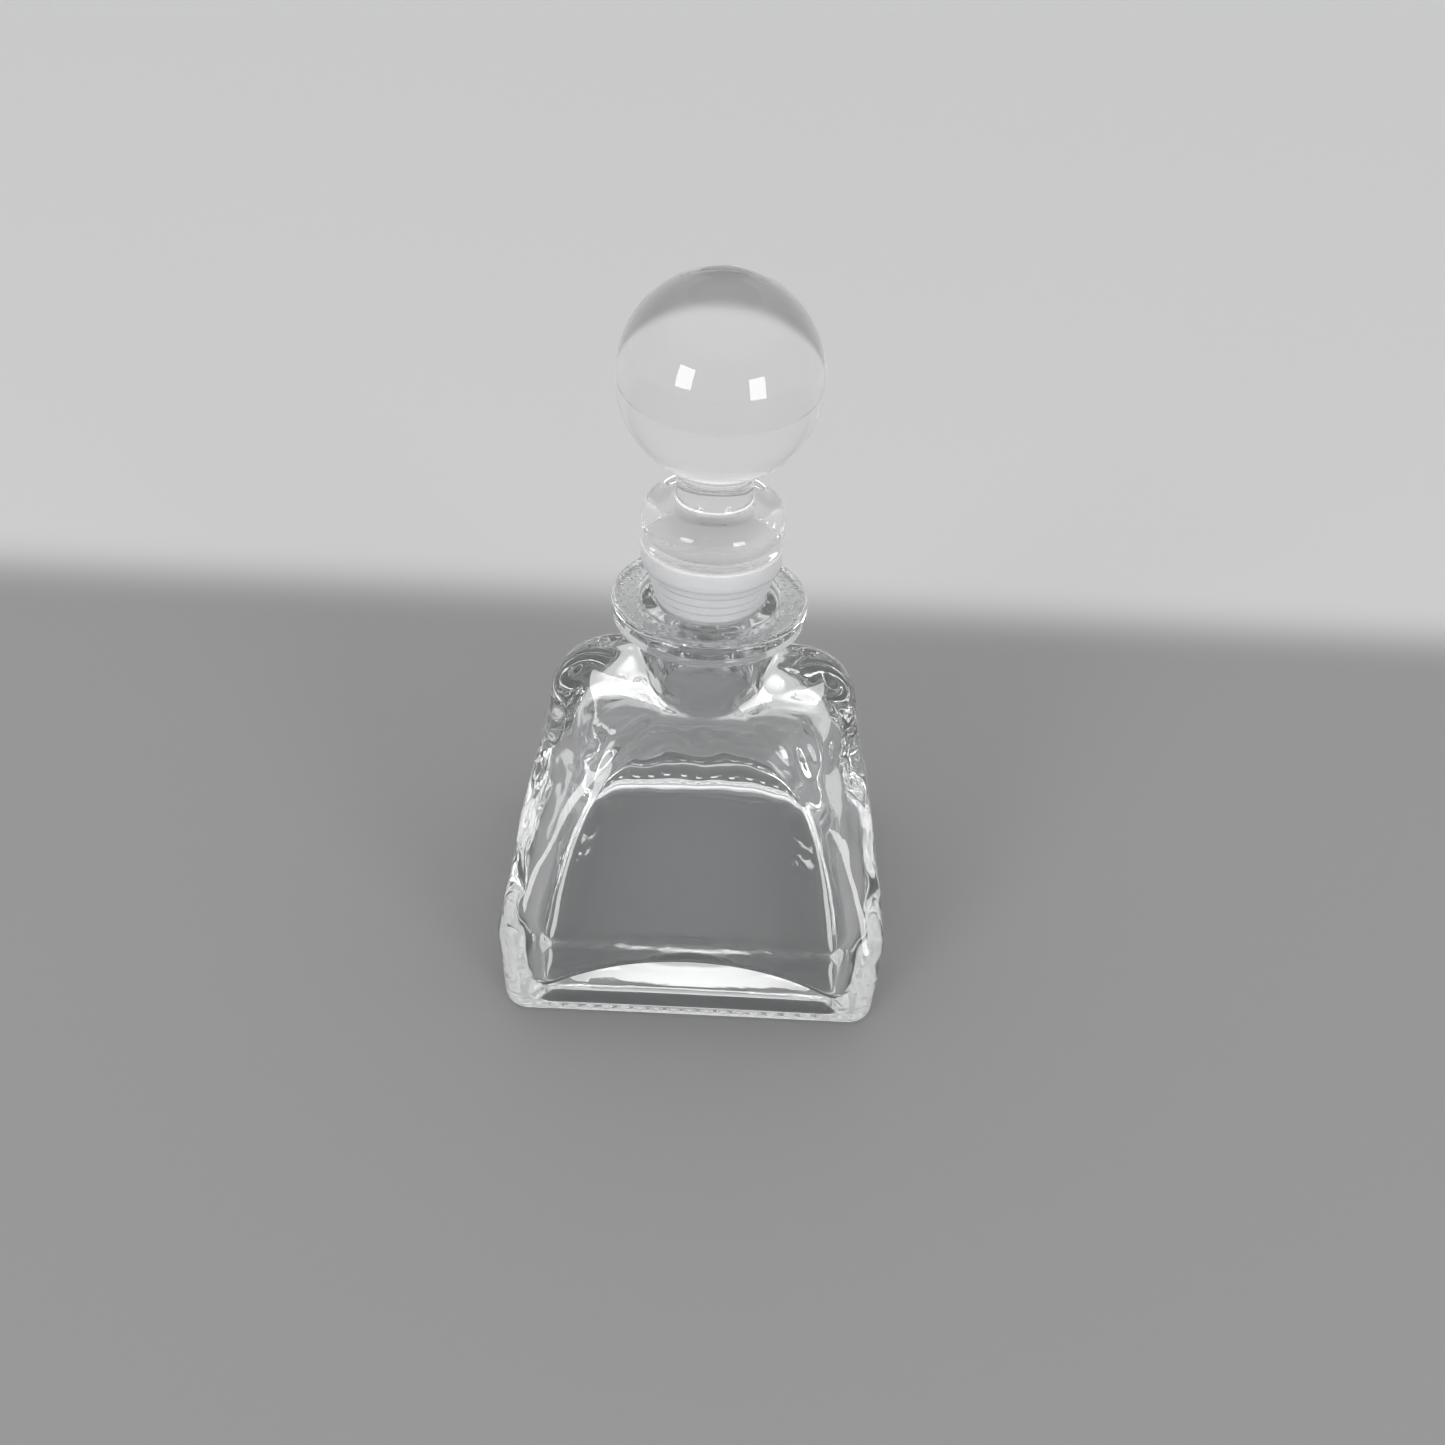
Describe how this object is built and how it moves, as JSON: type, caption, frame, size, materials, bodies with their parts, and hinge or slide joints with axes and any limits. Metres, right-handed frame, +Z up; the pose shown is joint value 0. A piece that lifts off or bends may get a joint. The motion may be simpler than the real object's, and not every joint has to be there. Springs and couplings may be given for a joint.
{
  "type": "glass bottle with ball stopper",
  "caption": "Clear glass aftershave bottle with a rectangular base, leaning bell-shaped front, round neck with a wide flat lip and a glass ball stopper in a ribbed sealing sleeve.",
  "frame": {"origin": "centre of the base on the plane the bottle stands on", "axes": "+Z up along the axis of the neck and stopper, +X to the right and -Y towards the front, seen from the front"},
  "size_m": [0.072, 0.066, 0.1305],
  "materials": {
    "bottle": "clear, fire-polished",
    "sleeve": "frosted translucent white",
    "stopper": "clear, polished"
  },
  "bodies": {
    "bottle": {"bottle": "bottle", "neck": "bottle"},
    "sleeve": {"sleeve": "sleeve"},
    "stopper": {"stopper": "stopper"}
  },
  "joints": [
    {"name": "stopper_lift", "type": "slide", "parent": "bottle", "child": "sleeve", "axis": [0, 0, 1], "range_m": [0, 0.03]},
    {"name": "stopper_twist", "type": "hinge", "parent": "sleeve", "child": "stopper", "pos_m": [0, 0, 0.087], "axis": [0, 0, 1], "continuous": true}
  ]
}
